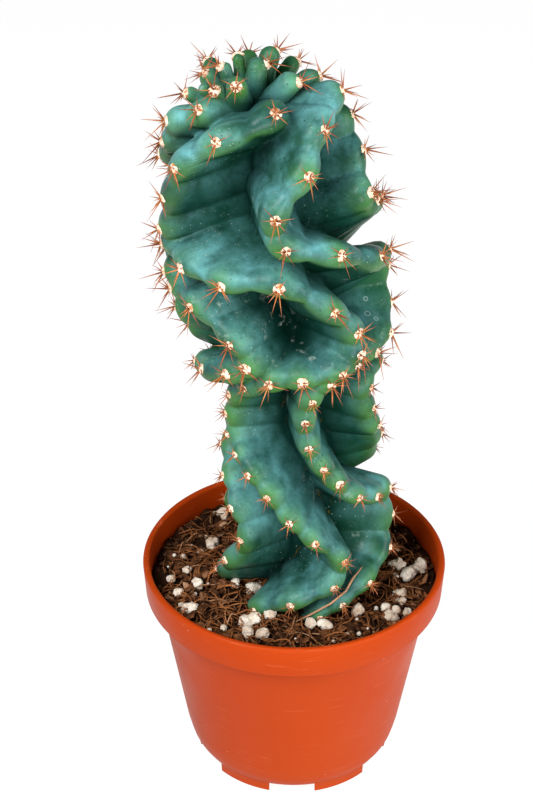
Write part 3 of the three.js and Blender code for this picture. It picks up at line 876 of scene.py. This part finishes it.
class BuildStem(bpy.types.Operator):
    """Builds the twisted stem from the ribs' routes"""

    bl_idname = "cactus.build_stem"
    bl_label = "Build stem"

    def execute(self, context):
        s = settings_of(context).stem
        ribs = [rib_spokes(rib) for rib in RIBS]
        knobs = [knob_spoke(knob) for knob in CROWN_KNOBS]
        bm = stem_mesh(s, ribs)
        self.press_knobs(bm, knobs)
        nearness(bm, "edge", crest_points([spoke for rib in ribs for spoke in rib] + knobs), EDGE_FADE)
        nearness(bm, "areole", crest_points(areole_spokes()), AREOLE_FADE)
        self.mark_up(bm)
        scars = []
        for x, y, z, radius in SCARS:
            place = Vector((x, y, z + SOIL)) * MM
            nearest = min(bm.verts, key=lambda vert: (vert.co - place).length_squared)
            scars.append((nearest.co.copy(), radius * MM))
        stem = new_object("cactus_skin", bm, [skin_material(s, scars)])
        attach(stem, "root")
        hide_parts("cactus")
        return {"FINISHED"}

    def mark_up(self, bm):
        """A layer that says how far the skin faces up. The paint reads it for painted light on upward skin
        and painted shade on downward skin.
        """
        up = bm.verts.layers.float.new("up")
        bmesh.ops.recalc_face_normals(bm, faces=bm.faces)
        bm.normal_update()
        for vert in bm.verts:
            vert[up] = vert.normal.z

    def press_knobs(self, bm, knobs):
        """Egg-shaped knobs that stand side by side on the crown, with painted shade that grows towards their
        feet.
        """
        noise.seed_set(3)
        ball = Stamp(bmesh.ops.create_uvsphere, u_segments=24, v_segments=18, radius=1)
        deep = bm.verts.layers.float["deep"]
        for knob in knobs:
            foot = Vector(knob.root)
            turn = facing(knob.direction)
            for vert in ball.press(bm, Matrix.Identity(4)):
                stretch = 0.5 + 0.5 * min(max(vert.co.z * 1.6 + 0.4, -1), 1)
                width = knob.radius * (0.86 + 0.3 * math.sin(math.pi * min(stretch, 0.82) / 0.82))
                x, y, z = vert.co
                place = Vector((x * width, y * width, z * knob.radius + knob.length * stretch))
                vert[deep] = 1 - min(max(place.z / knob.length, 0), 1) ** 2
                place = turn @ place + foot
                place += noise.noise_vector(place * 0.09) * 0.9
                vert.co = (place + Vector((0, 0, SOIL))) * MM


class BuildAreoles(bpy.types.Operator):
    """Sets a felt pad and a star of spines on every areole"""

    bl_idname = "cactus.build_areoles"
    bl_label = "Build areoles"

    def execute(self, context):
        s = settings_of(context).areoles
        rng = random.Random(11)
        pads = bmesh.new()
        spines = bmesh.new()
        along = spines.verts.layers.float.new("along")
        tone = spines.verts.layers.float.new("tone")
        ball = Stamp(bmesh.ops.create_icosphere, subdivisions=2, radius=1)
        needle = Stamp(bmesh.ops.create_cone, cap_ends=True, segments=6, radius1=1, radius2=0.06, depth=1)
        for spoke in areole_spokes():
            point = spoke.root + spoke.direction * (spoke.length + spoke.radius) + (0, 0, SOIL)
            seat = Vector(point * MM)
            outward = Vector(spoke.direction)
            size = 1.0 if spoke.height > UPPER_STEM else LOW_AREOLE_SIZE
            self.pad(ball, pads, seat, outward, s.pad_radius * math.sqrt(size) * between(rng, 0.9, 1.12))
            for spread, turn, length in self.star(s, rng, outward):
                tilt = math.radians(spread)
                level = math.sin(tilt)
                lean = Vector((level * math.cos(turn), level * math.sin(turn), math.cos(tilt)))
                reach = facing(outward) @ lean * (length * size * MM)
                width = s.spine_radius * math.sqrt(size) * between(rng, 0.85, 1.15)
                shade = rng.random()
                for vert in self.spine(needle, spines, seat, reach, width):
                    vert[along] = (vert.co - seat).length / reach.length
                    vert[tone] = shade
        for name, bm, material in (
            ("areole_felt", pads, felt_material(s)), ("spines", spines, spine_material(s)),
        ):
            obj = new_object(name, bm, [material])
            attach(obj, "root")
            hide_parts("cactus")
        return {"FINISHED"}

    def star(self, s, rng, outward):
        """An areole's spines: a ring of them, a long one that leans down and one near the middle."""
        start = between(rng, 0, math.pi)
        spines = []
        for n in range(s.radials):
            turn = start + 2 * math.pi * (n + between(rng, -0.38, 0.38)) / s.radials
            spines.append((between(rng, 38, 88), turn, between(rng, 4.5, 9.0)))
        down = facing(outward).inverted() @ Vector((0, 0, -1))
        down = math.atan2(down.y, down.x)
        spines.append((between(rng, 35, 65), down + between(rng, -0.5, 0.5), between(rng, 9, 12)))
        spines.append((between(rng, 5, 40), rng.random() * 7, between(rng, 8, 11)))
        return spines

    def pad(self, ball, bm, seat, outward, radius):
        shape = Matrix.Diagonal((radius, radius, 0.75 * radius, 1))
        for vert in ball.press(bm, facing(outward, seat - outward * 0.35 * radius) @ shape):
            rough = noise.fractal(vert.co * 900, 0.8, 2.0, 3)
            vert.co += (vert.co - seat).normalized() * rough * 0.25 * radius

    def spine(self, needle, bm, seat, reach, width):
        """One spine's vertices; none where its tip would touch the mix or pass the top of the plant."""
        tip = seat + reach
        if tip.z < (SOIL + LOWEST_SPINE_TIP) * MM or tip.z > CAD_BOX[1][2] - TOP_MARGIN * MM:
            return []
        shape = Matrix.Diagonal((width, width, reach.length, 1))
        return needle.press(bm, facing(reach.normalized(), seat + reach / 2) @ shape)


def straight_strand(bm, rings):
    """A closed four-sided rod up the Z axis, with rings at 0, 1, 2 and so on."""
    bmesh.ops.create_cone(bm, cap_ends=True, segments=4, radius1=1, radius2=1, depth=rings - 1)
    upright = [edge for edge in bm.edges if abs(edge.verts[0].co.z - edge.verts[1].co.z) > 0.5]
    bmesh.ops.subdivide_edges(bm, edges=upright, cuts=rings - 2)
    bmesh.ops.translate(bm, verts=bm.verts, vec=(0, 0, (rings - 1) / 2))


def relief(x, y):
    """Height of the uneven surface of the potting mix over its mean level, in millimetres."""
    waves = math.sin(0.31 * x + 1.1) * math.cos(0.27 * y) + 0.6 * math.sin(0.55 * y + 0.42 * x)
    return 1.1 * waves + 1.6 * math.exp(-(x * x + y * y) / 900)


def on_mix(x, y, lift):
    """A point in metres over the surface of the potting mix."""
    return Vector((x * MM, y * MM, (SOIL + relief(x, y) + lift) * MM))


def jitter(rng):
    return Vector((rng.random() - 0.5, rng.random() - 0.5, rng.random() - 0.5))


class BuildMix(bpy.types.Operator):
    """Fills the pot with potting mix and scatters bark, coir fibres and perlite over it"""

    bl_idname = "cactus.build_mix"
    bl_label = "Build potting mix"

    def execute(self, context):
        s = settings_of(context).mix
        rng = random.Random(5)
        pieces = [
            ("mix_bed", self.bed(), (tuple(s.soil), (0.035, 0.014, 0.006), 260)),
            ("bark_chips", self.chips(s, rng), ((0.045, 0.014, 0.006), (0.33, 0.13, 0.05), 200)),
            ("coir_fibres", self.fibres(s, rng), ((0.16, 0.055, 0.018), tuple(s.fibre), 300)),
            ("crumbs", self.crumbs(s, rng), ((0.03, 0.012, 0.006), (0.26, 0.12, 0.055), 500)),
            ("perlite", self.grains(rng), None),
        ]
        for name, bm, tones in pieces:
            material = earth_material(name, *tones) if tones else perlite_material()
            obj = new_object(name, bm, [material], smooth=name in ("mix_bed", "perlite", "coir_fibres"))
            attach(obj, "root")
            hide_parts("potting_mix")
        return {"FINISHED"}

    def bed(self):
        bm = bmesh.new()
        tone = bm.verts.layers.float.new("tone")
        profile = [(0, 7.6), (41.5, 7.6), (43.8, 11.3), (45.2, 17), (56.2, 80)]
        profile += [(BED_RADIUS * i / BED_RINGS, SOIL) for i in range(BED_RINGS, -1, -1)]
        verts = [bm.verts.new((r * MM, 0, z * MM)) for r, z in profile]
        edges = [bm.edges.new(pair) for pair in zip(verts, verts[1:])]
        bmesh.ops.spin(
            bm, geom=verts + edges, cent=(0, 0, 0), axis=(0, 0, 1), dvec=(0, 0, 0),
            angle=2 * math.pi, steps=180, use_merge=True, use_duplicate=False,
        )
        bmesh.ops.remove_doubles(bm, verts=bm.verts, dist=1e-6)
        for vert in bm.verts:
            vert[tone] = 0.3
            if vert.co.z > (SOIL - 0.5) * MM:
                rough = noise.fractal(vert.co * 260, 1.0, 2.0, 3)
                vert.co.z += (relief(vert.co.x / MM, vert.co.y / MM) - 1.2 + 1.3 * rough) * MM
        return bm

    def place(self, rng, margin):
        radius = (SCATTER_RADIUS - margin) * math.sqrt(rng.random())
        turn = rng.random() * 2 * math.pi
        return radius * math.cos(turn), radius * math.sin(turn)

    def chips(self, s, rng):
        bm = bmesh.new()
        tone = bm.verts.layers.float.new("tone")
        lump = Stamp(bmesh.ops.create_icosphere, subdivisions=1, radius=0.62)
        for _ in range(s.chips):
            x, y = self.place(rng, 3.5)
            size = between(rng, 1.6, 5.5) if rng.random() < 0.7 else between(rng, 5, 9)
            width = size * between(rng, 0.25, 0.6)
            shape = Matrix.Diagonal((size * MM, width * MM, between(rng, 0.5, 1.3) * MM, 1))
            turn = Matrix.Rotation(rng.random() * 7, 4, "Z")
            turn = turn @ Matrix.Rotation(between(rng, -0.9, 0.9), 4, "X")
            turn = turn @ Matrix.Rotation(between(rng, -0.6, 0.6), 4, "Y")
            matrix = Matrix.Translation(on_mix(x, y, between(rng, -1.2, 1.0))) @ turn @ shape
            shade = rng.random()
            for vert in lump.press(bm, matrix):
                vert.co += jitter(rng) * size * 0.16 * MM
                vert[tone] = shade
        return bm

    def fibres(self, s, rng):
        bm = bmesh.new()
        tone = bm.verts.layers.float.new("tone")
        self.strands = {count: Stamp(straight_strand, rings=count) for count in range(3, STRAND_STEPS + 2)}
        for _ in range(s.fibres):
            x, y = self.place(rng, 5)
            length = between(rng, 4, 18)
            radius = between(rng, 0.14, 0.4)
            points = self.strand(rng, x, y, length, between(rng, -0.8, 2.0))
            if len(points) > 2:
                self.tube(bm, tone, points, radius * MM, rng.random())
        twig = [Vector((x * MM, y * MM, (SOIL + z) * MM)) for x, y, z in TWIG]
        self.tube(bm, tone, twig, TWIG_RADIUS * MM, 0.0)
        return bm

    def strand(self, rng, x, y, length, lift):
        """Points along a curved fibre that lies on the mix, arched a little, and ends at the pot's wall."""
        heading = rng.random() * 2 * math.pi
        bend = between(rng, -0.35, 0.35)
        points = []
        for i in range(STRAND_STEPS + 1):
            if math.hypot(x, y) > STRAND_LIMIT:
                break
            arch = math.sin(math.pi * i / STRAND_STEPS) * between(rng, 0.3, 1.2)
            points.append(on_mix(x, y, lift + arch))
            heading += bend
            x += math.cos(heading) * length / STRAND_STEPS
            y += math.sin(heading) * length / STRAND_STEPS
        return points

    def tube(self, bm, tone, points, radius, shade):
        """A four-sided strand: a straight stamp whose rings move to the points."""
        strand = self.strands[len(points)]
        last = len(points) - 1
        places = []
        for i, point in enumerate(points):
            ahead = points[min(i + 1, last)] - points[max(i - 1, 0)]
            width = radius * (0.45 if i in (0, last) else 1)
            places.append(facing(ahead.normalized(), point) @ Matrix.Scale(width, 4))
        for vert in strand.press(bm, Matrix.Identity(4)):
            ring = round(vert.co.z)
            vert.co = places[ring] @ Vector((vert.co.x, vert.co.y, 0))
            vert[tone] = shade

    def crumbs(self, s, rng):
        bm = bmesh.new()
        tone = bm.verts.layers.float.new("tone")
        lump = Stamp(bmesh.ops.create_icosphere, subdivisions=1, radius=1)
        for _ in range(s.crumbs):
            x, y = self.place(rng, 1.5)
            radius = between(rng, 0.3, 1.0)
            spot = Matrix.Translation(on_mix(x, y, between(rng, -1.0, 0.6)))
            shade = rng.random()
            for vert in lump.press(bm, spot @ Matrix.Scale(radius * MM, 4)):
                vert.co += jitter(rng) * radius * 0.6 * MM
                vert[tone] = shade
        return bm

    def grains(self, rng):
        bm = bmesh.new()
        fine = Stamp(bmesh.ops.create_icosphere, subdivisions=4, radius=1)
        coarse = Stamp(bmesh.ops.create_icosphere, subdivisions=2, radius=1)
        seats = list(PERLITE)
        for _ in range(SMALL_GRAINS):
            x, y = self.place(rng, 3)
            seats.append((x, y, between(rng, 0.5, 1.2)))
        for x, y, radius in seats:
            centre = on_mix(x, y, 0.45 * radius)
            squash = Matrix.Diagonal((1, between(rng, 0.8, 1), between(rng, 0.7, 0.95), 1))
            turn = Matrix.Rotation(rng.random() * 7, 4, "Z")
            matrix = Matrix.Translation(centre) @ turn @ squash @ Matrix.Scale(radius * MM, 4)
            ball = fine if radius > SMALLEST_FINE_GRAIN else coarse
            for vert in ball.press(bm, matrix):
                rough = noise.fractal(vert.co * 330, 0.9, 2.0, 4)
                vert.co += (vert.co - centre) * (0.4 * rough)
        return bm


class BuildStage(bpy.types.Operator):
    """Sets the pale floor, the soft lights and the camera"""

    bl_idname = "cactus.build_stage"
    bl_label = "Build stage"

    def execute(self, context):
        s = settings_of(context).stage
        scene = context.scene
        bm = bmesh.new()
        bmesh.ops.create_grid(bm, x_segments=1, y_segments=1, size=FLOOR_SIZE)
        bmesh.ops.translate(bm, verts=bm.verts, vec=(0, 0, -FLOOR_DROP))
        floor_paint = Paint("floor", roughness=0.9, specular=0.0)
        floor_paint.shader.inputs["Emission Color"].default_value = (1, 1, 1, 1)
        floor_paint.shader.inputs["Emission Strength"].default_value = s.glow
        floor = new_object("floor", bm, [floor_paint.finish((0.12, 0.12, 0.12))])
        world = bpy.data.worlds.new("studio")
        world.use_nodes = True
        world.node_tree.nodes["Background"].inputs["Color"].default_value = (1, 1, 1, 1)
        world.node_tree.nodes["Background"].inputs["Strength"].default_value = s.sky
        scene.world = world
        lights = [
            self.light("key", s.key, 0.6, (-0.5, -0.6, 0.95)),
            self.light("fill", s.fill, 0.6, (0.85, -0.4, 0.45)),
            self.light("low", s.low, 0.5, (0.3, -1.0, 0.25)),
        ]
        data = bpy.data.cameras.new("camera")
        data.lens = s.lens
        data.sensor_width = 36
        data.clip_start = 0.05
        camera = bpy.data.objects.new("camera", data)
        forward = Vector(CAMERA_FORWARD).normalized()
        right = forward.cross(Vector((0, 0, 1))).normalized()
        up = right.cross(forward)
        turn = Matrix((right, up, -forward)).transposed()
        camera.matrix_world = Matrix.Translation(CAMERA_PLACE) @ turn.to_4x4()
        context.collection.objects.link(camera)
        scene.camera = camera
        scene.view_settings.view_transform = "Standard"
        return {"FINISHED"}

    def light(self, name, power, size, place):
        data = bpy.data.lights.new(name, "AREA")
        data.energy = power
        data.size = size
        light = bpy.data.objects.new(name, data)
        aim = Vector(LIGHT_AIM) - Vector(place)
        light.matrix_world = Matrix.Translation(place) @ aim.to_track_quat("-Z", "Y").to_matrix().to_4x4()
        bpy.context.collection.objects.link(light)
        return light


BUILDERS = (BuildPot, BuildMix, BuildStem, BuildAreoles, BuildStage)


class SpiralCactusSettings(bpy.types.PropertyGroup):
    pot: PointerProperty(type=PotSettings)
    stem: PointerProperty(type=StemSettings)
    areoles: PointerProperty(type=AreoleSettings)
    mix: PointerProperty(type=MixSettings)
    stage: PointerProperty(type=StageSettings)


class SpiralCactusPanel(bpy.types.Panel):
    """Lists the builders and their settings"""

    bl_idname = "VIEW3D_PT_spiral_cactus"
    bl_label = "Spiral cactus"
    bl_space_type = "VIEW_3D"
    bl_region_type = "UI"
    bl_category = "Cactus"

    def draw(self, context):
        s = settings_of(context)
        for builder, group in zip(BUILDERS, (s.pot, s.mix, s.stem, s.areoles, s.stage)):
            box = self.layout.box()
            box.operator(builder.bl_idname)
            for key in group.__annotations__:
                box.prop(group, key)


CLASSES = (
    PotSettings, StemSettings, AreoleSettings, MixSettings, StageSettings,
    SpiralCactusSettings, *BUILDERS, SpiralCactusPanel,
)


def register():
    for cls in CLASSES:
        bpy.utils.register_class(cls)
    bpy.types.Scene.spiral_cactus = PointerProperty(type=SpiralCactusSettings)


def unregister():
    del bpy.types.Scene.spiral_cactus
    for cls in reversed(CLASSES):
        bpy.utils.unregister_class(cls)


def main():
    register()
    bpy.ops.cactus.build_pot()
    bpy.ops.cactus.build_mix()
    bpy.ops.cactus.build_stem()
    bpy.ops.cactus.build_areoles()
    bpy.ops.cactus.build_stage()


if __name__ == "__main__":
    main()
